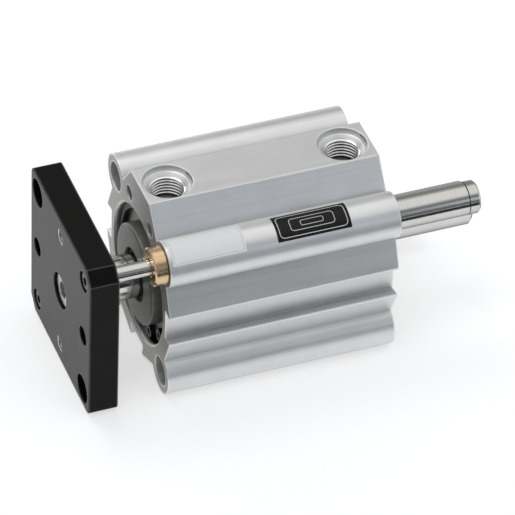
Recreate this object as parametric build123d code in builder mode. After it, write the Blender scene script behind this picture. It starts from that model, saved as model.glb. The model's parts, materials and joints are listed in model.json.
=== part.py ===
from build123d import *
import math
import os

os.makedirs("parts", exist_ok=True)

# Frame: millimetres, X along the rod towards the front plate, Y across, Z up to the ports.
# The origin is on the bore axis, in the front face of the barrel.

# Driving sizes: bore, stroke and the spacing of the corner holes set the rest
bore_r = 25.0
stroke = 25.0
corner_offset = 25.0
rest_gap = 18.2

# Clearances
running_fit = 0.03
seal_fit = 0.05
seat_fit = 0.02
end_play = 0.25
slack = 0.1
screw_play = 0.3

# How far a cut runs past a face, and how near two places count as the same
overcut = 1.0
same_place = 0.01

# Outline of the extruded barrel, seen along X
corner_r = 8.4
lip_reach = 33.2
lip_half = 6.5
foot_step = 4.8
foot_reach = lip_reach - foot_step
foot_height = 17.75
groove_depth = 4.5
groove_floor = lip_reach - groove_depth
groove_mouth_half = 5.6
groove_floor_half = 6.5
crown_height = 40.0
crown_half = 9.6
crown_foot_y = 18.3
crown_foot_z = 28.9
lip_round = 0.3
duct_y = 10.5
duct_z = 29.0
duct_r = 2.9

# Mounting holes through the lug corners
lug_hole_r = 3.3
lug_counterbore_r = 5.5
lug_counterbore_depth = 6.8

# Air ports in the crown
port_inset = 10.2
port_face_r = 9.0
port_face_depth = 1.9
port_thread_r = 6.58
port_cone_r = 8.0
port_cone_depth = 1.2
port_depth = 11.0
passage_r = 2.4
passage_shift = 3.6

# Ends of the bore: mouth chamfer, circlip groove and cover seat
seat_step = 0.8
seat_r = bore_r + seat_step
mouth_chamfer = 0.6
circlip_front = 2.0
circlip_thickness = 2.0
circlip_groove_r = 27.2
cover_flange_end = 10.5
cover_inner_end = 17.0

# Covers, with the rod's bearing and seals inside
cover_boss_r = 18.7
cover_boss_rise = 1.5
cover_boss_round = 0.8
cover_spigot_r = 22.5
cover_ring_depth = 1.5
cover_ring_width = 2.6
cover_ring_edge = 2.0
cover_ring_slack = 0.2
cover_ring_round = 0.5
seal_pocket_r = 10.0
seal_pocket_end = 5.0
bearing_pocket_r = 9.0
wiper_length = 1.6
wiper_rise = 0.4
wiper_lip = (0.1, 0.7)
wiper_lip_r = 8.9

# Circlips, with two eyes beside the gap
circlip_play = 0.15
circlip_outer_r = circlip_groove_r - circlip_play
circlip_inner_r = 23.4
circlip_eye_r = 2.5
circlip_eye_hole_r = 1.1
circlip_eye_orbit = 23.0
circlip_gap_angle = -58.0
circlip_eye_spread = 15.0

# Piston pack
piston_play = 0.3
piston_r = bore_r - piston_play
piston_length = 26.0
seal_groove_r = 21.2
seal_width = 4.0
seal_edge_gap = 2.2
seal_band_gap = 1.0
seal_chamfer = 0.8
band_groove_r = 23.2
band_width = 3.2
magnet_cover = 2.1
magnet_thickness = 4.1
magnet_outer_r = piston_r - magnet_cover
magnet_inner_r = magnet_outer_r - magnet_thickness
magnet_width = 4.0
bumper_inner_r = 12.0
bumper_outer_r = 19.0
bumper_depth = 1.2
clip_groove_r = 7.2
clip_outer_r = 10.2
clip_width = 1.2
rod_ring_r = 9.6
rod_ring_width = 2.4
rod_ring_round = 0.3

# Through rod
rod_r = 8.0
rod_rest_out = 14.5
rod_tail = stroke + rod_rest_out
rod_chamfer = 1.2
rod_thread_r = 4.0
rod_thread_depth = 20.0
rod_thread_chamfer = 0.6

# Front plate
plate_size = 64.0
plate_thickness = 11.0
plate_chamfer = 4.6
plate_round = 2.0
plate_edge = 0.3
access_hole_r = 5.5
side_hole_r = 3.7
top_hole_r = 3.0
centre_bore_r = 6.9
centre_bore_depth = 6.1

# Hex socket screws: head radius, head height, key radius and key depth
plate_screw_head = (6.5, 5.0)
plate_screw_key = (3.46, 3.0)
plate_screw_round = 0.6
plate_screw_reach = 16.0
guide_screw_head = (3.5, 4.4)
guide_screw_key = (1.73, 2.0)
guide_screw_round = 0.4
guide_screw_r = 2.0
guide_screw_reach = 9.0
guide_bore_r = 4.0
guide_bore_depth = 5.0

# Guide rods, bushes and the closed tubes behind the barrel
guide_r = 3.0
guide_pocket = 2.0
guide_shortfall = 4.0
guide_tail = stroke - guide_shortfall
guide_chamfer = 0.6
bush_r = 7.0
bush_rise = 5.0
bush_depth = 19.0
bush_chamfer = 0.5
tube_r = 6.0
tube_bore_r = 5.0
tube_seat = 12.0
tube_spare = 2.2
tube_reach = stroke + tube_spare
plug_head = 4.3
plug_spigot = 4.0
plug_chamfer = 0.8

# Labels wrapped round the guide channel nearest the viewer
label_thickness = 0.12
data_label_span = (-28.4, -1.3)
data_label_angles = (31.0, 112.0)
sensor_label_span = (-67.7, -40.2)
sensor_label_angles = (34.0, 107.0)

# Places worked out from the sizes above
body_length = 2 * cover_inner_end + piston_length + stroke + 4 * end_play
rear_x = -body_length
port_x = (-port_inset, rear_x + port_inset)
middle = Plane.YZ.offset(rear_x / 2)
plate_back = rest_gap
plate_front = plate_back + plate_thickness
piston_rear = rear_x + cover_inner_end + 2 * end_play
piston_front = piston_rear + piston_length
piston_middle = (piston_rear + piston_front) / 2
clip_depth = bumper_depth + clip_width
lug_corners = ((-corner_offset, corner_offset), (corner_offset, -corner_offset))
guide_corners = {"near": (corner_offset, corner_offset), "far": (-corner_offset, -corner_offset)}
face_of_lip = lip_reach + overcut


def disc(x, outer, inner=0.0, centre=(0.0, 0.0)):
    """A round section, square to X, for extruding."""
    with BuildSketch(Plane.YZ.offset(x)) as section:
        with Locations(centre):
            Circle(outer)
            if inner:
                Circle(inner, mode=Mode.SUBTRACT)
    return section.sketch


def ring(x_from, x_to, outer, inner=0.0, centre=(0.0, 0.0), mode=Mode.ADD):
    """A straight ring or bar along X between two places."""
    extrude(disc(x_from, outer, inner, centre), amount=x_to - x_from, mode=mode)


def turned(points):
    """A lathe profile of (x, radius) points, turned about the bore axis."""
    with BuildSketch(Plane.XY) as section:
        with BuildLine():
            Polyline(*points, close=True)
        make_face()
    revolve(section.sketch, axis=Axis.X)


def edges_at(x, radius):
    """The round edges of the current part at one place along X."""
    circles = edges().filter_by(GeomType.CIRCLE)
    here = circles.filter_by(lambda e: abs(e.center().X - x) < same_place)
    return here.filter_by(lambda e: abs(e.radius - radius) < same_place)


def hex_key(x, key):
    """Cuts a hexagon socket into a screw head whose face is at x."""
    radius, depth = key
    with BuildSketch(Plane.YZ.offset(x)) as socket:
        RegularPolygon(radius, 6)
    return extrude(socket.sketch, amount=-depth, mode=Mode.SUBTRACT)


def save(part, name):
    """Names a solid and writes it to the parts folder."""
    part.label = name
    export_step(part, f"parts/{name}.step")


# Barrel: one aluminium extrusion with lugs, guide channels, crown and sensor grooves
with BuildPart() as barrel:
    with BuildSketch(Plane.YZ) as outline:
        with BuildLine():
            Polyline(
                (foot_reach, foot_height),
                (lip_reach, lip_half),
                (lip_reach, -lip_half),
                (foot_reach, -foot_height),
                (foot_height, -foot_reach),
                (lip_half, -lip_reach),
                (-lip_half, -lip_reach),
                (-foot_height, -foot_reach),
                (-foot_reach, -foot_height),
                (-lip_reach, -lip_half),
                (-lip_reach, lip_half),
                (-foot_reach, foot_height),
                (-crown_foot_y, crown_foot_z),
                (-crown_half, crown_height),
                (crown_half, crown_height),
                (crown_foot_y, crown_foot_z),
                close=True,
            )
        make_face()
        with GridLocations(2 * corner_offset, 2 * corner_offset, 2, 2):
            Circle(corner_r)
        # One dovetail groove for sensors in each side but the crown
        for turn in (0, 180, 270):
            with BuildSketch(Plane.XY.rotated((0, 0, turn)), mode=Mode.PRIVATE) as groove:
                with BuildLine():
                    Polyline(
                        (groove_floor, groove_floor_half),
                        (face_of_lip, groove_mouth_half),
                        (face_of_lip, -groove_mouth_half),
                        (groove_floor, -groove_floor_half),
                        close=True,
                    )
                make_face()
            add(groove.sketch, mode=Mode.SUBTRACT)
        corners = outline.vertices()
        tips = corners.filter_by(lambda v: abs(max(abs(v.X), abs(v.Y)) - lip_reach) < same_place)
        fillet(tips, radius=lip_round)
        Circle(bore_r, mode=Mode.SUBTRACT)
        with Locations((duct_y, duct_z), (-duct_y, duct_z)):
            Circle(duct_r, mode=Mode.SUBTRACT)
        with Locations(*lug_corners):
            Circle(lug_hole_r, mode=Mode.SUBTRACT)
        with Locations(*guide_corners.values()):
            Circle(tube_r + seat_fit, mode=Mode.SUBTRACT)
    extrude(amount=-body_length)
    for end, inward in ((0.0, -1), (rear_x, 1)):
        for lug in lug_corners:
            ring(end, end + inward * lug_counterbore_depth, lug_counterbore_r, centre=lug, mode=Mode.SUBTRACT)
        ring(end, end + inward * cover_flange_end, seat_r, mode=Mode.SUBTRACT)
        ring(
            end + inward * (circlip_front - seat_fit),
            end + inward * (circlip_front + circlip_thickness + seat_fit),
            circlip_groove_r,
            mode=Mode.SUBTRACT,
        )
        chamfer(edges_at(end, seat_r), length=mouth_chamfer)
    for guide in guide_corners.values():
        ring(0, -bush_depth - seat_fit, bush_r + seat_fit, centre=guide, mode=Mode.SUBTRACT)
    # Air ports: flat spot, short cone, thread bore, then a passage to the bore
    for x, inward in zip(port_x, (-1, 1)):
        with Locations(Plane.XY.offset(crown_height)):
            with Locations((x, 0)):
                Hole(port_face_r, depth=port_face_depth)
        with BuildSketch(Plane.XY.offset(crown_height - port_face_depth)) as cone_top:
            with Locations((x, 0)):
                Circle(port_cone_r)
        with BuildSketch(Plane.XY.offset(crown_height - port_face_depth - port_cone_depth)) as cone_foot:
            with Locations((x, 0)):
                Circle(port_thread_r)
        loft([cone_top.sketch, cone_foot.sketch], mode=Mode.SUBTRACT)
        with Locations((x, 0, crown_height)):
            Hole(port_thread_r, depth=port_depth)
        with Locations((x + inward * passage_shift, 0, crown_height)):
            Hole(passage_r, depth=crown_height - bore_r + overcut)

# Front cover: flange in the seat, boss out of the mouth, spigot into the bore
with BuildPart() as front_cover:
    ring_start = cover_flange_end - cover_ring_edge - cover_ring_width
    flange_r = seat_r - seat_fit
    flange_face = -circlip_front - circlip_thickness
    turned(
        [
            (cover_boss_rise, seal_pocket_r),
            (cover_boss_rise, cover_boss_r),
            (flange_face, cover_boss_r),
            (flange_face, flange_r),
            (-ring_start, flange_r),
            (-ring_start, seat_r - cover_ring_depth),
            (-ring_start - cover_ring_width, seat_r - cover_ring_depth),
            (-ring_start - cover_ring_width, flange_r),
            (-cover_flange_end, flange_r),
            (-cover_flange_end, cover_spigot_r),
            (-cover_inner_end, cover_spigot_r),
            (-cover_inner_end, bearing_pocket_r),
            (-seal_pocket_end, bearing_pocket_r),
            (-seal_pocket_end, seal_pocket_r),
        ]
    )
    fillet(edges_at(cover_boss_rise, cover_boss_r), radius=cover_boss_round)

# Rubber ring round the cover's flange
with BuildPart() as front_cover_ring:
    ring(
        -ring_start - cover_ring_slack,
        -ring_start - cover_ring_width + cover_ring_slack,
        seat_r - seat_fit,
        seat_r - cover_ring_depth + seat_fit,
    )
    fillet(edges().filter_by(GeomType.CIRCLE), radius=cover_ring_round)

# Circlip in front of the cover
with BuildPart() as front_circlip:
    with BuildSketch(Plane.YZ.offset(-circlip_front)):
        Circle(circlip_outer_r)
        Circle(circlip_inner_r, mode=Mode.SUBTRACT)
        gap_half = math.radians(circlip_eye_spread)
        gap_reach = 2 * circlip_outer_r
        with BuildSketch(Plane.XY.rotated((0, 0, circlip_gap_angle)), mode=Mode.PRIVATE) as gap:
            with BuildLine():
                Polyline(
                    (0, 0),
                    (gap_reach, gap_reach * math.tan(gap_half)),
                    (gap_reach, -gap_reach * math.tan(gap_half)),
                    close=True,
                )
            make_face()
        add(gap.sketch, mode=Mode.SUBTRACT)
        for side in (-1, 1):
            angle = circlip_gap_angle + side * circlip_eye_spread
            with PolarLocations(circlip_eye_orbit, 1, start_angle=angle):
                Circle(circlip_eye_r)
                Circle(circlip_eye_hole_r, mode=Mode.SUBTRACT)
    extrude(amount=-circlip_thickness)

# Bearing bush, rod seal and wiper inside the front cover
with BuildPart() as front_rod_bearing:
    ring(-seal_pocket_end - slack, -cover_inner_end, bearing_pocket_r - seat_fit, rod_r + running_fit)

with BuildPart() as front_rod_seal:
    ring(-seal_pocket_end, -wiper_length, seal_pocket_r - seat_fit, rod_r + seal_fit)

with BuildPart() as front_wiper:
    ring(-wiper_length, wiper_rise, seal_pocket_r - seat_fit, wiper_lip_r)
    ring(*wiper_lip, wiper_lip_r, rod_r + seal_fit)

# The rear end holds the same pieces, mirrored
with BuildPart() as rear_cover:
    mirror(front_cover.part, about=middle)
with BuildPart() as rear_cover_ring:
    mirror(front_cover_ring.part, about=middle)
with BuildPart() as rear_circlip:
    mirror(front_circlip.part, about=middle)
with BuildPart() as rear_rod_bearing:
    mirror(front_rod_bearing.part, about=middle)
with BuildPart() as rear_rod_seal:
    mirror(front_rod_seal.part, about=middle)
with BuildPart() as rear_wiper:
    mirror(front_wiper.part, about=middle)

# Rear half of the piston, with grooves for its seal, guide band and half the magnet
piston_centre = Plane.YZ.offset(piston_middle)
seal_start = piston_rear + seal_edge_gap
band_start = seal_start + seal_width + seal_band_gap
with BuildPart() as rear_piston_half:
    turned(
        [
            (piston_rear, bumper_outer_r),
            (piston_rear, piston_r),
            (seal_start, piston_r),
            (seal_start, seal_groove_r),
            (seal_start + seal_width, seal_groove_r),
            (seal_start + seal_width, piston_r),
            (band_start, piston_r),
            (band_start, band_groove_r),
            (band_start + band_width, band_groove_r),
            (band_start + band_width, piston_r),
            (piston_middle, piston_r),
            (piston_middle, magnet_outer_r + seat_fit),
            (piston_middle - magnet_width / 2, magnet_outer_r + seat_fit),
            (piston_middle - magnet_width / 2, magnet_inner_r - seat_fit),
            (piston_middle, magnet_inner_r - seat_fit),
            (piston_middle, rod_ring_r),
            (piston_middle - rod_ring_width / 2, rod_ring_r),
            (piston_middle - rod_ring_width / 2, rod_r + seat_fit),
            (piston_rear + clip_depth, rod_r + seat_fit),
            (piston_rear + clip_depth, clip_outer_r + seat_fit),
            (piston_rear + bumper_depth, clip_outer_r + seat_fit),
            (piston_rear + bumper_depth, bumper_outer_r),
        ]
    )
with BuildPart() as front_piston_half:
    mirror(rear_piston_half.part, about=piston_centre)

with BuildPart() as rear_piston_seal:
    ring(seal_start + slack, seal_start + seal_width - slack, bore_r - seal_fit, seal_groove_r + seat_fit)
    chamfer(edges_at(seal_start + slack, bore_r - seal_fit), length=seal_chamfer)
with BuildPart() as front_piston_seal:
    mirror(rear_piston_seal.part, about=piston_centre)

with BuildPart() as rear_guide_band:
    ring(band_start + slack, band_start + band_width - slack, bore_r - running_fit, band_groove_r + seat_fit)
with BuildPart() as front_guide_band:
    mirror(rear_guide_band.part, about=piston_centre)

with BuildPart() as piston_magnet:
    ring(
        piston_middle - magnet_width / 2 + seat_fit,
        piston_middle + magnet_width / 2 - seat_fit,
        magnet_outer_r,
        magnet_inner_r,
    )

with BuildPart() as rear_bumper:
    ring(piston_rear - end_play, piston_rear + bumper_depth, bumper_outer_r - seat_fit, bumper_inner_r)
with BuildPart() as front_bumper:
    mirror(rear_bumper.part, about=piston_centre)

with BuildPart() as piston_rod_ring:
    ring(
        piston_middle - rod_ring_width / 2 + seat_fit,
        piston_middle + rod_ring_width / 2 - seat_fit,
        rod_ring_r - seat_fit,
        rod_r + seat_fit,
    )
    fillet(edges().filter_by(GeomType.CIRCLE), radius=rod_ring_round)

# Two clips that hold the piston on the rod
with BuildPart() as piston_clips:
    ring(piston_rear + bumper_depth, piston_rear + clip_depth, clip_outer_r, clip_groove_r + seat_fit)
    mirror(about=piston_centre)

# Through rod, with clip grooves and a thread bore in each end
with BuildPart() as piston_rod:
    rod_end = rear_x - rod_tail
    ring(rod_end, plate_back, rod_r)
    chamfer(edges_at(rod_end, rod_r), length=rod_chamfer)
    for groove_x in (piston_rear + bumper_depth, piston_front - clip_depth):
        ring(groove_x, groove_x + clip_width, rod_r + overcut, clip_groove_r, mode=Mode.SUBTRACT)
    ring(plate_back, plate_back - rod_thread_depth, rod_thread_r + seat_fit, mode=Mode.SUBTRACT)
    ring(rod_end, rod_end + rod_thread_depth, rod_thread_r + seat_fit, mode=Mode.SUBTRACT)
    chamfer(edges_at(rod_end, rod_thread_r + seat_fit), length=rod_thread_chamfer)

# Front plate: a square with two cut corners, beside the guide rods
with BuildPart() as front_plate:
    with BuildSketch(Plane.YZ.offset(plate_back)) as plate_outline:
        Rectangle(plate_size, plate_size)
        corners = plate_outline.vertices()
        chamfer(corners.filter_by(lambda v: v.X * v.Y > 0), length=plate_chamfer)
        fillet(corners.filter_by(lambda v: v.X * v.Y < 0), radius=plate_round)
    extrude(amount=plate_thickness)
    chamfer(faces().sort_by(Axis.X)[-1].edges(), length=plate_edge)
    chamfer(faces().sort_by(Axis.X)[0].edges(), length=plate_edge)
    for lug in lug_corners:
        ring(plate_back, plate_front, access_hole_r, centre=lug, mode=Mode.SUBTRACT)
    for side in (-corner_offset, corner_offset):
        ring(plate_back, plate_front, side_hole_r, centre=(side, 0), mode=Mode.SUBTRACT)
        ring(plate_back, plate_front, top_hole_r, centre=(0, side), mode=Mode.SUBTRACT)
    ring(plate_back, plate_front, rod_thread_r + screw_play, mode=Mode.SUBTRACT)
    ring(plate_front, plate_front - centre_bore_depth, centre_bore_r, mode=Mode.SUBTRACT)
    for guide in guide_corners.values():
        ring(plate_back, plate_front, guide_screw_r + screw_play, centre=guide, mode=Mode.SUBTRACT)
        ring(plate_front, plate_front - guide_bore_depth, guide_bore_r, centre=guide, mode=Mode.SUBTRACT)
        ring(plate_back, plate_back + guide_pocket, guide_r + seat_fit, centre=guide, mode=Mode.SUBTRACT)

# Centre screw that holds the plate on the rod
with BuildPart() as plate_screw:
    head_r, head_height = plate_screw_head
    head_seat = plate_front - centre_bore_depth
    ring(head_seat, head_seat + head_height, head_r)
    fillet(edges_at(head_seat + head_height, head_r), radius=plate_screw_round)
    ring(head_seat, head_seat - plate_screw_reach, rod_thread_r)
    hex_key(head_seat + head_height, plate_screw_key)

# Two screws that hold the guide rods
with BuildPart() as guide_screw:
    head_r, head_height = guide_screw_head
    head_seat = plate_front - guide_bore_depth
    ring(head_seat, head_seat + head_height, head_r)
    fillet(edges_at(head_seat + head_height, head_r), radius=guide_screw_round)
    ring(head_seat, head_seat - guide_screw_reach, guide_screw_r)
    hex_key(head_seat + head_height, guide_screw_key)
with BuildPart() as guide_screws:
    for y, z in guide_corners.values():
        add(guide_screw.part.moved(Location((0, y, z))))

# Guide rods, bushes, tubes and plugs, one of each per corner
guide_parts = {}
for corner, centre in guide_corners.items():
    with BuildPart() as guide_rod:
        guide_end = rear_x - guide_tail
        guide_front = plate_back + guide_pocket
        ring(guide_end, guide_front, guide_r, centre=centre)
        chamfer(edges_at(guide_end, guide_r), length=guide_chamfer)
        ring(
            guide_front,
            guide_front - guide_screw_reach,
            guide_screw_r + seat_fit,
            centre=centre,
            mode=Mode.SUBTRACT,
        )
    with BuildPart() as guide_bush:
        ring(-bush_depth, bush_rise, bush_r, guide_r + running_fit, centre)
        chamfer(edges_at(bush_rise, bush_r), length=bush_chamfer)
        chamfer(edges_at(bush_rise, guide_r + running_fit), length=bush_chamfer)
    with BuildPart() as guide_tube:
        tube_end = rear_x - tube_reach
        ring(rear_x + tube_seat, tube_end, tube_r, tube_bore_r, centre)
    with BuildPart() as tube_plug:
        ring(tube_end, tube_end - plug_head, tube_r, centre=centre)
        chamfer(edges_at(tube_end - plug_head, tube_r), length=plug_chamfer)
        ring(tube_end, tube_end + plug_spigot, tube_bore_r - seat_fit, centre=centre)
    guide_parts[f"guide_rod_{corner}"] = guide_rod.part
    guide_parts[f"guide_bush_{corner}"] = guide_bush.part
    guide_parts[f"guide_tube_{corner}"] = guide_tube.part
    guide_parts[f"tube_plug_{corner}"] = tube_plug.part


def wrapped_label(span, angles):
    """A thin label bent round the guide channel, between two angles about its axis."""
    x_from, x_to = span
    low, high = angles
    outer = corner_r + label_thickness
    centre = guide_corners["near"]
    with BuildSketch(Plane.YZ.offset(x_from)) as section:
        with BuildLine():
            arc = CenterArc(centre, outer, low, high - low)
            inner = CenterArc(centre, corner_r, low, high - low)
            Line(arc @ 0, inner @ 0)
            Line(arc @ 1, inner @ 1)
        make_face()
    extrude(section.sketch, amount=x_to - x_from)


with BuildPart() as data_label:
    wrapped_label(data_label_span, data_label_angles)
with BuildPart() as sensor_label:
    wrapped_label(sensor_label_span, sensor_label_angles)

named_parts = {
    "barrel": barrel.part,
    "front_cover": front_cover.part,
    "rear_cover": rear_cover.part,
    "front_cover_ring": front_cover_ring.part,
    "rear_cover_ring": rear_cover_ring.part,
    "front_circlip": front_circlip.part,
    "rear_circlip": rear_circlip.part,
    "front_rod_bearing": front_rod_bearing.part,
    "rear_rod_bearing": rear_rod_bearing.part,
    "front_rod_seal": front_rod_seal.part,
    "rear_rod_seal": rear_rod_seal.part,
    "front_wiper": front_wiper.part,
    "rear_wiper": rear_wiper.part,
    "rear_piston_half": rear_piston_half.part,
    "front_piston_half": front_piston_half.part,
    "rear_piston_seal": rear_piston_seal.part,
    "front_piston_seal": front_piston_seal.part,
    "rear_guide_band": rear_guide_band.part,
    "front_guide_band": front_guide_band.part,
    "piston_magnet": piston_magnet.part,
    "rear_bumper": rear_bumper.part,
    "front_bumper": front_bumper.part,
    "piston_rod_ring": piston_rod_ring.part,
    "piston_clips": piston_clips.part,
    "piston_rod": piston_rod.part,
    "front_plate": front_plate.part,
    "plate_screw": plate_screw.part,
    "guide_screws": guide_screws.part,
    "data_label": data_label.part,
    "sensor_label": sensor_label.part,
}
for name, part in {**named_parts, **guide_parts}.items():
    save(part, name)
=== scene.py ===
import json
import math

import bpy
from mathutils import Matrix, Vector


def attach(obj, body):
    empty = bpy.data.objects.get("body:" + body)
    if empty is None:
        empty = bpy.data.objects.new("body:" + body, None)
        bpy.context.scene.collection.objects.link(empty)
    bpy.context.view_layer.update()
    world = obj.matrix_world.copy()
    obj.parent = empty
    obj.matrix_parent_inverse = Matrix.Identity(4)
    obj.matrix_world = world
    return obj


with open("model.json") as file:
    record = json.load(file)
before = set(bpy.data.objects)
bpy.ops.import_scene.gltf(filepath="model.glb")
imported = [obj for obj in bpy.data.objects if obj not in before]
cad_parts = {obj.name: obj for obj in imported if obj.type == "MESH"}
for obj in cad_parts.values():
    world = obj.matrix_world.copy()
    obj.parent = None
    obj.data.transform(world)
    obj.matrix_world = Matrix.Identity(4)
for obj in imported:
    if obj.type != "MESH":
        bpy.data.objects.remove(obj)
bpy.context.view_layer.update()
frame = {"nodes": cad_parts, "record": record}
nodes = frame["nodes"]

# Metres in a millimetre
MM = 0.001

# Millimetres: height of the floor, place of the guides on either side of the axis, radius of the labels
FLOOR_Z = -33.4
GUIDE_PLACE = 25.0
LABEL_RADIUS = 8.5


# Node helpers

def rgba(colour):
    return (*colour, 1.0)


class Nodes:
    """A node tree, with short calls for its nodes."""

    def __init__(self, tree):
        self.tree = tree

    def add(self, kind, **settings):
        node = self.tree.nodes.new(kind)
        for key, value in settings.items():
            setattr(node, key, value)
        return node

    def feed(self, socket, value):
        if isinstance(value, bpy.types.NodeSocket):
            self.tree.links.new(value, socket)
        else:
            socket.default_value = value

    def math(self, operation, *values):
        node = self.add("ShaderNodeMath", operation=operation)
        for socket, value in zip(node.inputs, values):
            self.feed(socket, value)
        return node.outputs[0]

    def split(self, vector):
        """The three parts of a vector."""
        node = self.add("ShaderNodeSeparateXYZ")
        self.feed(node.inputs[0], vector)
        return node.outputs

    def spread(self, value, low, high, source=(0.3, 0.7), curve="LINEAR"):
        node = self.add("ShaderNodeMapRange", interpolation_type=curve)
        self.feed(node.inputs["Value"], value)
        node.inputs["From Min"].default_value = source[0]
        node.inputs["From Max"].default_value = source[1]
        node.inputs["To Min"].default_value = low
        node.inputs["To Max"].default_value = high
        return node.outputs["Result"]

    def mix(self, factor, first, second):
        """The first colour where the factor is 0, the second where it is 1."""
        node = self.add("ShaderNodeMix", data_type="RGBA")
        self.feed(node.inputs[0], factor)
        self.feed(node.inputs[6], first)
        self.feed(node.inputs[7], second)
        return node.outputs[2]

    def background_share(self):
        """1 for what the camera, metal or glass sees, 0 for light that falls on things."""
        path = self.add("ShaderNodeLightPath").outputs
        direct = self.math("MAXIMUM", path["Is Camera Ray"], path["Is Glossy Ray"])
        return self.math("MAXIMUM", direct, path["Is Transmission Ray"])


class Paint(Nodes):
    """A material under construction."""

    def __init__(self, name):
        self.name = name
        self.material = bpy.data.materials.new(name)
        self.material.use_nodes = True
        super().__init__(self.material.node_tree)
        self.shader = self.tree.nodes["Principled BSDF"]
        self.place = self.add("ShaderNodeTexCoord").outputs["Object"]

    def give(self, socket, value):
        """Set or feed an input of the shader."""
        self.feed(self.shader.inputs[socket], value)

    def base(self):
        """The base colour so far."""
        return self.shader.inputs["Base Color"].links[0].from_socket

    def noise(self, scale, stretch=(1.0, 1.0, 1.0), detail=3.0):
        mapping = self.add("ShaderNodeMapping")
        mapping.inputs["Scale"].default_value = stretch
        self.feed(mapping.inputs["Vector"], self.place)
        node = self.add("ShaderNodeTexNoise")
        self.feed(node.inputs["Vector"], mapping.outputs[0])
        node.inputs["Scale"].default_value = scale
        node.inputs["Detail"].default_value = detail
        return node.outputs["Fac"]

    def tones(self, value, dark, light):
        """Shades between two colours, by a noise."""
        return self.mix(self.spread(value, 0.0, 1.0), rgba(dark), rgba(light))

    def bump(self, height, depth, normal=None):
        node = self.add("ShaderNodeBump")
        node.inputs["Strength"].default_value = 1.0
        node.inputs["Distance"].default_value = depth
        self.feed(node.inputs["Height"], height)
        if normal is not None:
            self.feed(node.inputs["Normal"], normal)
        return node.outputs["Normal"]

    def rounded(self, radius):
        """The normal, with edges rounded by a radius in millimetres."""
        node = self.add("ShaderNodeBevel", samples=4)
        node.inputs["Radius"].default_value = radius * MM
        return node.outputs["Normal"]

    def edges(self, radius):
        """1 on edges within the radius, 0 on flat and evenly curved faces."""
        turned = self.add("ShaderNodeVectorMath", operation="DOT_PRODUCT")
        self.feed(turned.inputs[0], self.rounded(radius))
        self.feed(turned.inputs[1], self.add("ShaderNodeNewGeometry").outputs["Normal"])
        return self.spread(turned.outputs["Value"], 1.0, 0.0, (0.965, 0.997))

    def openness(self, distance):
        """0 deep in grooves and holes, 1 on open faces; the distance is in millimetres."""
        node = self.add("ShaderNodeAmbientOcclusion", samples=6)
        node.inputs["Distance"].default_value = distance * MM
        return self.spread(node.outputs["AO"], 0.0, 1.0, (0.15, 0.6))


# Materials: colours are linear, edge radii and pitches are in millimetres, bump depths in metres

def metal(name, dark, light, rough, line_scale, line_depth,
          stretch=(1.0, 1.0, 1.0), metallic=1.0, edge=0.0, rim=None, level=0.5):
    """Metal with lines drawn along or around it, a slow change of tone and a fine grain."""
    p = Paint(name)
    lines = p.noise(line_scale, stretch, detail=4.0)
    cloud = p.noise(90.0, detail=2.0)
    grain = p.noise(7000.0, detail=2.0)
    tone = p.math("ADD", p.math("MULTIPLY", lines, 0.55), p.math("MULTIPLY", cloud, 0.45))
    p.give("Base Color", p.tones(tone, dark, light))
    p.give("Roughness", p.spread(p.math("ADD", lines, p.math("MULTIPLY", grain, 0.3)), *rough))
    p.give("Metallic", metallic)
    p.give("Specular IOR Level", level)
    normal = p.rounded(edge) if edge else None
    normal = p.bump(lines, line_depth, normal)
    p.give("Normal", p.bump(grain, 0.2 * line_depth, normal))
    if rim:
        p.give("Specular Tint", rgba(rim))
    return p


def barrel_paint():
    """Drawn lines run along the extrusion; its cut ends, with saw marks, get a darker tone as painted shade;
    the edges get a painted highlight; grooves and holes are darkened as painted shade.
    """
    p = metal(
        "silver_anodised", (0.70, 0.708, 0.715), (0.80, 0.807, 0.812), (0.33, 0.43), 1600.0, 0.8e-6,
        stretch=(0.012, 1.0, 1.0), metallic=0.85, edge=0.7,
    )
    wall = p.base()
    facing = p.split(p.add("ShaderNodeNewGeometry").outputs["True Normal"])
    end = p.math("GREATER_THAN", p.math("ABSOLUTE", facing[0]), 0.9)
    # Painted shade: the end faces get a darker tone than the walls; their saw-mark grain is real
    sawn_end_painted_shade = p.tones(p.noise(2600.0, (1.0, 0.05, 1.0)), (0.30, 0.293, 0.27), (0.40, 0.392, 0.365))
    # Painted highlight: near-white along the edges
    before_hollow_shade = p.mix(p.edges(0.9), p.mix(end, wall, sawn_end_painted_shade), rgba((1.0, 1.0, 0.99)))
    # Painted shade: dark in grooves, holes and gaps, by ambient occlusion
    p.give("Base Color", p.mix(p.openness(6.0), rgba((0.10, 0.098, 0.092)), before_hollow_shade))
    return p


def plate_paint():
    """Glossy black, with a fine painted highlight along the edges."""
    p = metal(
        "black_anodised", (0.0035, 0.0038, 0.0038), (0.006, 0.0062, 0.0058), (0.26, 0.32), 2200.0, 4e-7,
        stretch=(1.0, 1.0, 0.04), metallic=0.0, edge=0.3, rim=(1.0, 0.985, 0.94), level=0.11,
    )
    # Painted highlight: pale along the edges
    p.give("Base Color", p.mix(p.edges(0.7), p.base(), rgba((0.16, 0.155, 0.14))))
    return p


def turned_paint(name, dark, light, rough, metallic, pitch, depth, edge):
    """Metal turned on a lathe: fine rings about the bore axis."""
    p = Paint(name)
    x, y, z = p.split(p.place)
    radius = p.math("SQRT", p.math("ADD", p.math("MULTIPLY", y, y), p.math("MULTIPLY", z, z)))
    rings = p.math("SINE", p.math("MULTIPLY", p.math("ADD", radius, x), 2 * math.pi / (pitch * MM)))
    blur = p.noise(500.0)
    p.give("Base Color", p.tones(blur, dark, light))
    p.give("Roughness", p.spread(blur, *rough))
    p.give("Metallic", metallic)
    p.give("Normal", p.bump(rings, depth, p.rounded(edge)))
    return p


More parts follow.
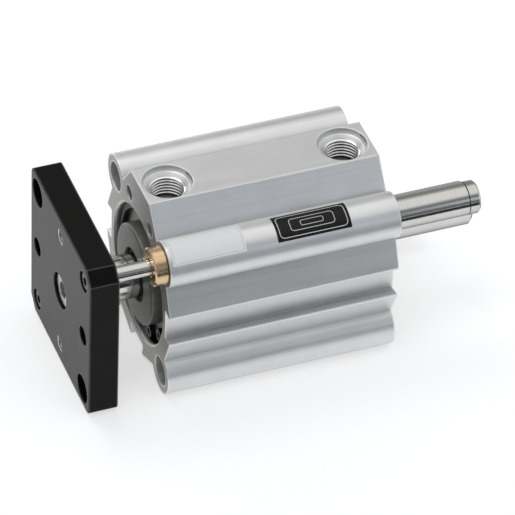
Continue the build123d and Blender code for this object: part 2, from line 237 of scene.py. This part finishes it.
def bronze_paint():
    """Turned bronze, stained dark where the bush meets the barrel."""
    p = Paint("bronze")
    x = p.split(p.place)[0]
    blur = p.noise(700.0)
    tone = p.tones(blur, (0.68, 0.49, 0.29), (0.75, 0.555, 0.345))
    stain = p.math("LESS_THAN", x, 0.3 * MM)
    rings = p.math("SINE", p.math("MULTIPLY", x, 2 * math.pi / (0.25 * MM)))
    p.give("Base Color", p.mix(stain, tone, rgba((0.16, 0.10, 0.05))))
    p.give("Roughness", p.spread(blur, 0.22, 0.28))
    p.give("Metallic", 1.0)
    p.give("Normal", p.bump(rings, 3e-7))
    return p


def soft_paint(name, dark, light, rough, scale, depth):
    """Rubber, plastic or bonded magnet."""
    p = Paint(name)
    grain = p.noise(scale)
    p.give("Base Color", p.tones(grain, dark, light))
    p.give("Roughness", p.spread(grain, *rough))
    p.give("Normal", p.bump(grain, depth))
    return p


def thread_paint():
    """Cut thread: bright crests, and roots darkened with painted shade. The mesh says how deep each point lies.
    """
    p = metal("thread_metal", (0.74, 0.74, 0.73), (0.86, 0.86, 0.85), (0.14, 0.24), 1500.0, 1e-6)
    root = p.add("ShaderNodeAttribute", attribute_name="root_share").outputs["Fac"]
    root = p.spread(root, 0.0, 1.0, (0.35, 0.75))
    # Painted shade: the deeper a point of the thread lies, the darker it is painted
    p.give("Base Color", p.mix(root, p.base(), rgba((0.05, 0.048, 0.043))))
    return p


def outline(p, along, around, half_length, half_width, corner, half_line):
    """1 on a thin rounded outline on a label, 0 beside it; sizes are in millimetres."""
    past_x = p.math("SUBTRACT", p.math("ABSOLUTE", along), (half_length - corner) * MM)
    past_a = p.math("SUBTRACT", p.math("ABSOLUTE", around), (half_width - corner) * MM)
    out_x, out_a = p.math("MAXIMUM", past_x, 0.0), p.math("MAXIMUM", past_a, 0.0)
    squares = p.math("ADD", p.math("MULTIPLY", out_x, out_x), p.math("MULTIPLY", out_a, out_a))
    inside = p.math("MINIMUM", p.math("MAXIMUM", past_x, past_a), 0.0)
    distance = p.math("SUBTRACT", p.math("ADD", p.math("SQRT", squares), inside), corner * MM)
    return p.math("LESS_THAN", p.math("ABSOLUTE", distance), half_line * MM)


def label_paint(name, ground_dark, ground, ink, middle, outlines, rough, level):
    """Printed film bent round the guide channel, with plain outlines only.

    The middle is its x in millimetres and its angle in degrees. Each outline has half its length
    and width, the corner radius and half the line's width.
    """
    p = Paint(name)
    x, y, z = p.split(p.place)
    centre = GUIDE_PLACE * MM
    angle = p.math("ARCTAN2", p.math("SUBTRACT", z, centre), p.math("SUBTRACT", y, centre))
    angle = p.math("SUBTRACT", angle, math.radians(middle[1]))
    around = p.math("MULTIPLY", angle, LABEL_RADIUS * MM)
    along = p.math("SUBTRACT", x, middle[0] * MM)
    grain = p.noise(2500.0)
    colour = p.tones(grain, ground_dark, ground)
    for sizes in outlines:
        colour = p.mix(outline(p, along, around, *sizes), colour, rgba(ink))
    p.give("Base Color", colour)
    p.give("Roughness", p.spread(grain, *rough))
    p.give("Specular IOR Level", level)
    p.give("Normal", p.bump(grain, 1e-6))
    return p


paints = {p.name: p.material for p in (
    barrel_paint(),
    plate_paint(),
    bronze_paint(),
    thread_paint(),
    turned_paint(
        "grey_anodised", (0.20, 0.197, 0.183), (0.26, 0.255, 0.238), (0.38, 0.48),
        metallic=0.4, pitch=0.35, depth=2e-6, edge=0.8,
    ),
    turned_paint(
        "plain_aluminium", (0.60, 0.60, 0.61), (0.72, 0.72, 0.73), (0.22, 0.34),
        metallic=1.0, pitch=0.3, depth=2e-6, edge=0.15,
    ),
    metal(
        "chromed_steel", (0.60, 0.592, 0.575), (0.68, 0.672, 0.655), (0.09, 0.12), 5000.0, 3e-8,
        stretch=(1.0, 0.02, 0.02), edge=0.15, rim=(0.30, 0.30, 0.30),
    ),
    metal(
        "bright_steel", (0.58, 0.575, 0.56), (0.67, 0.662, 0.645), (0.10, 0.14), 3500.0, 6e-8,
        stretch=(1.0, 0.03, 0.03), edge=0.2, rim=(0.28, 0.28, 0.28),
    ),
    metal("spring_steel", (0.05, 0.05, 0.05), (0.09, 0.088, 0.085), (0.34, 0.5), 900.0, 2e-6),
    metal("zinc_steel", (0.50, 0.52, 0.50), (0.66, 0.68, 0.66), (0.22, 0.38), 1200.0, 3e-6, edge=0.15),
    # A darker copy of zinc steel: painted shade for the guide screws in their holes
    metal("zinc_screw_painted_shade", (0.10, 0.10, 0.095), (0.17, 0.17, 0.16), (0.26, 0.4), 1200.0, 2e-6, edge=0.15),
    soft_paint("seal_rubber", (0.012, 0.012, 0.012), (0.026, 0.026, 0.025), (0.55, 0.75), 1500.0, 6e-6),
    soft_paint("bearing_plastic", (0.22, 0.17, 0.12), (0.32, 0.25, 0.18), (0.45, 0.6), 1800.0, 4e-6),
    soft_paint("magnet_compound", (0.07, 0.07, 0.075), (0.12, 0.12, 0.125), (0.5, 0.7), 2600.0, 8e-6),
    label_paint(
        "silver_foil", (0.90, 0.90, 0.89), (0.95, 0.95, 0.94), (0.50, 0.50, 0.50), middle=(-14.85, 71.5),
        outlines=[(12.9, 5.3, 0.8, 0.07)], rough=(0.34, 0.46), level=0.5,
    ),
    label_paint(
        "black_foil", (0.010, 0.010, 0.010), (0.018, 0.018, 0.018), (0.78, 0.78, 0.76), middle=(-53.95, 70.5),
        outlines=[(12.6, 4.3, 1.6, 0.13), (8.2, 2.4, 1.2, 0.11), (4.2, 1.0, 0.6, 0.10)],
        rough=(0.22, 0.34), level=0.15,
    ),
)}

# The guide screws are painted darker than the plate screw, though both are zinc-plated: painted shade down in
# their corner holes
slot_of = {row["node"]: row["material_slot"] for row in frame["record"]["subparts"]}
for name, piece in nodes.items():
    piece.data.materials.clear()
    piece.data.materials.append(paints["zinc_screw_painted_shade" if name == "guide_screws" else slot_of[name]])


# Threads and seams, which the solids leave out; their sizes are in millimetres

def add_piece(name, points, faces, body, paint):
    mesh = bpy.data.meshes.new(name)
    mesh.from_pydata(points, [], faces)
    mesh.polygons.foreach_set("use_smooth", [True] * len(mesh.polygons))
    mesh.update()
    mesh.materials.append(paints[paint])
    piece = bpy.data.objects.new(name, mesh)
    bpy.context.scene.collection.objects.link(piece)
    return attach(piece, body)


def skin(name, rows, columns, place, body, paint):
    """A sheet of rows, each closed into a ring, where place(row, column) gives each point."""
    points = [place(row, column) for row in range(rows) for column in range(columns)]
    faces = []
    for row in range(rows - 1):
        here, above = row * columns, (row + 1) * columns
        for column in range(columns):
            after = (column + 1) % columns
            faces.append((here + column, here + after, above + after, above + column))
    return add_piece(name, points, faces, body, paint)


def thread(name, mouth, inward, across, root, crest, pitch, length, body, paint):
    """An inside thread: a helical ridge that stands inward from a bore's wall, and a lip at the mouth."""
    start, way, side = Vector(mouth) * MM, Vector(inward), Vector(across)
    other = way.cross(side)
    columns, rows_per_pitch = 48, 10
    rows = int(length / pitch * rows_per_pitch) + 1
    fade_length, lip_length = 0.6 * pitch, 0.3 * pitch
    root_shares = []

    def place(row, column):
        depth = row * length / (rows - 1)
        turn = column / columns
        phase = (depth / pitch + turn) % 1.0
        # A triangle wave, cut off to leave a short flat at the crest and at the root
        ridge = min(1.0, max(0.0, 1.15 * (1.0 - abs(2.0 * phase - 1.0)) - 0.07))
        fade = min(1.0, depth / fade_length, (length - depth) / fade_length)
        lip = max(0.0, 1.0 - abs(depth / lip_length - 1.0))
        rise = max(ridge * fade, lip)
        root_shares.append(1.0 - rise if depth > lip_length else 0.0)
        radius = (root - (root - crest) * rise) * MM
        angle = 2.0 * math.pi * turn
        return start + way * depth * MM + (side * math.cos(angle) + other * math.sin(angle)) * radius

    piece = skin(name, rows, columns, place, body, paint)
    piece.data.attributes.new("root_share", "FLOAT", "POINT").data.foreach_set("value", root_shares)
    return piece


def seam(name, x, centre, radius, width, body, slot):
    """A thin dark line round a tube, where its plug meets it."""
    columns, height = 64, 0.03
    section = [
        (-width / 2, radius), (-width / 2 + height, radius + height),
        (width / 2 - height, radius + height), (width / 2, radius),
    ]

    def place(row, column):
        angle = 2.0 * math.pi * column / columns
        along, r = section[row]
        return Vector((x + along, centre + r * math.cos(angle), centre + r * math.sin(angle))) * MM

    return skin(name, len(section), columns, place, body, slot)


DOWN, ALONG, BACK, ACROSS = (0, 0, -1), (1, 0, 0), (-1, 0, 0), (0, 1, 0)

for label, x in (("front", -10.2), ("rear", -75.8)):
    thread(
        f"{label}_port_thread", (x, 0, 36.85), DOWN, ALONG, root=6.55, crest=5.72, pitch=1.337, length=7.8,
        body="barrel_body", paint="thread_metal",
    )
for label, z in (("upper", 25.0), ("lower", -25.0)):
    thread(
        f"{label}_plate_thread", (29.0, 0, z), BACK, ACROSS, root=2.97, crest=2.5, pitch=1.0, length=10.6,
        body="rod_body", paint="zinc_steel",
    )
thread(
    "rod_end_thread", (-124.9, 0, 0), ALONG, ACROSS, root=3.99, crest=3.4, pitch=1.25, length=19.0,
    body="rod_body", paint="thread_metal",
)
for label, centre in (("near", GUIDE_PLACE), ("far", -GUIDE_PLACE)):
    seam(f"{label}_tube_seam", -113.2, centre, radius=6.0, width=0.4, body="barrel_body", slot="seal_rubber")


# Stage: a pale floor, even light, a studio seen in metal, a dark card for a painted dark reflection, and four
# soft boxes

# What is seen of the studio, by the angle in degrees round the rod's axis:
# 0 is the near horizon, 90 is overhead, 180 is the far horizon
STUDIO = [
    (0, (0.05, 0.055, 0.06)), (9, (0.09, 0.10, 0.11)), (22, (0.27, 0.285, 0.31)),
    (34, (0.33, 0.35, 0.385)), (45, (0.17, 0.19, 0.22)), (56, (0.62, 0.64, 0.65)),
    (66, (1.0, 0.99, 0.965)), (117, (1.0, 0.985, 0.96)), (134, (0.46, 0.45, 0.44)),
    (153, (0.26, 0.255, 0.25)), (180, (0.60, 0.60, 0.59)),
]
STUDIO_ENDS = (0.60, 0.61, 0.62)

# The floor's glow lifts its lit colour to white in the picture
FLOOR_GLOW = 0.58
WORLD_COLOUR, WORLD_LIGHT = (0.93, 0.96, 1.0), 0.58


def sheet(name, corners, material):
    mesh = bpy.data.meshes.new(name)
    mesh.from_pydata(corners, [], [(0, 1, 2, 3)])
    mesh.materials.append(material)
    piece = bpy.data.objects.new(name, mesh)
    bpy.context.scene.collection.objects.link(piece)
    return piece


def build_floor(half):
    p = Paint("floor")
    p.give("Base Color", p.mix(p.noise(3.0), rgba((0.62, 0.62, 0.62)), rgba((0.64, 0.64, 0.64))))
    p.give("Roughness", 0.9)
    glow = p.add("ShaderNodeEmission")
    p.feed(glow.inputs["Strength"], p.math("MULTIPLY", p.background_share(), FLOOR_GLOW))
    both = p.add("ShaderNodeAddShader")
    p.feed(both.inputs[0], p.shader.outputs[0])
    p.feed(both.inputs[1], glow.outputs[0])
    p.feed(p.tree.nodes["Material Output"].inputs["Surface"], both.outputs[0])
    z = FLOOR_Z * MM
    floor = sheet("floor", [(-half, -half, z), (half, -half, z), (half, half, z), (-half, half, z)], p.material)


def build_world():
    """Even light falls on things, and the studio is what is seen, in metal too."""
    world = bpy.data.worlds.new("studio")
    bpy.context.scene.world = world
    world.use_nodes = True
    n = Nodes(world.node_tree)
    light = n.tree.nodes["Background"]
    light.inputs["Color"].default_value = rgba(WORLD_COLOUR)
    light.inputs["Strength"].default_value = WORLD_LIGHT
    x, y, z = n.split(n.add("ShaderNodeTexCoord").outputs["Generated"])
    ramp = n.add("ShaderNodeValToRGB")
    n.feed(ramp.inputs[0], n.math("DIVIDE", n.math("ARCTAN2", z, y), math.pi))
    stops = ramp.color_ramp.elements
    for spot, (degrees, colour) in enumerate(STUDIO):
        stop = stops[spot] if spot < 2 else stops.new(1.0)
        stop.position, stop.color = degrees / 180.0, rgba(colour)
    endways = n.spread(n.math("ABSOLUTE", x), 0.0, 1.0, (0.6, 0.95), "SMOOTHSTEP")
    seen = n.add("ShaderNodeBackground")
    n.feed(seen.inputs["Color"], n.mix(endways, ramp.outputs[0], rgba(STUDIO_ENDS)))
    both = n.add("ShaderNodeMixShader")
    n.feed(both.inputs[0], n.background_share())
    n.feed(both.inputs[1], light.outputs[0])
    n.feed(both.inputs[2], seen.outputs[0])
    n.feed(n.tree.nodes["World Output"].inputs["Surface"], both.outputs[0])


def painted_reflection_card(y, top):
    """A black card on the near side, hidden from the camera, from diffuse light and from shadows, which only
    polished metal sees: a painted dark reflection.
    """
    p = soft_paint("painted_reflection_card", (0.02, 0.022, 0.025), (0.03, 0.032, 0.036), (0.8, 0.9), 50.0, 1e-6)
    z = FLOOR_Z * MM
    card = sheet("painted_reflection_card", [(-0.7, y, z), (0.6, y, z), (0.6, y, top), (-0.7, y, top)], p.material)
    card.visible_camera = card.visible_diffuse = card.visible_shadow = card.visible_transmission = False


def soft_box(name, place, size, power, colour=(1.0, 1.0, 1.0)):
    """A lamp that faces the middle of the object; its place and size are in metres."""
    data = bpy.data.lights.new(name, "AREA")
    data.shape, data.size, data.size_y = "RECTANGLE", size[0], size[1]
    data.energy, data.color = power, colour
    lamp = bpy.data.objects.new(name, data)
    lamp.location = place
    middle = Vector((-0.04, 0, 0))
    lamp.rotation_euler = (middle - Vector(place)).to_track_quat("-Z", "Y").to_euler()
    bpy.context.scene.collection.objects.link(lamp)


build_floor(half=4.0)
build_world()
painted_reflection_card(y=0.15, top=0.02)
soft_box("top_box", (0.15, -0.45, 1.15), (0.6, 0.4), power=1.9)
soft_box("back_box", (0.2, -1.05, 0.45), (0.7, 0.4), power=1.6)
soft_box("near_box", (-0.75, 0.95, 0.32), (0.5, 0.5), power=1.3, colour=(0.93, 0.97, 1.0))
soft_box("front_box", (0.80, 0.75, 0.55), (0.4, 0.3), power=0.5, colour=(1.0, 0.97, 0.93))


# Camera at the photograph's angle

PHOTO_WIDTH = 515.0
SENSOR_WIDTH = 36.0


def build_camera(turn, height, roll, focal, right_shift, up_shift, distance):
    """Angles are in degrees, the focal length is in pixels of the photograph, the rest in millimetres."""
    turn, height, roll = (math.radians(angle) for angle in (turn, height, roll))
    back = Vector((math.sin(turn) * math.cos(height), -math.cos(turn) * math.cos(height), math.sin(height)))
    level = Vector((math.cos(turn), math.sin(turn), 0.0))
    upright = back.cross(level)
    right = level * math.cos(roll) + upright * math.sin(roll)
    up = upright * math.cos(roll) - level * math.sin(roll)
    data = bpy.data.cameras.new("camera")
    data.sensor_width = SENSOR_WIDTH
    data.lens = focal * SENSOR_WIDTH / PHOTO_WIDTH
    data.clip_start, data.clip_end = 0.1, 40.0
    camera = bpy.data.objects.new("camera", data)
    place = (back * distance + right * right_shift + up * up_shift) * MM
    camera.matrix_world = Matrix.Translation(place) @ Matrix((right, up, back)).transposed().to_4x4()
    bpy.context.scene.collection.objects.link(camera)
    bpy.context.scene.camera = camera


build_camera(
    turn=158.01, height=40.94, roll=2.40, focal=4838.6, right_shift=42.35, up_shift=5.72, distance=1714.3
)
bpy.context.scene.view_settings.view_transform = "Standard"

bpy.context.view_layer.update()
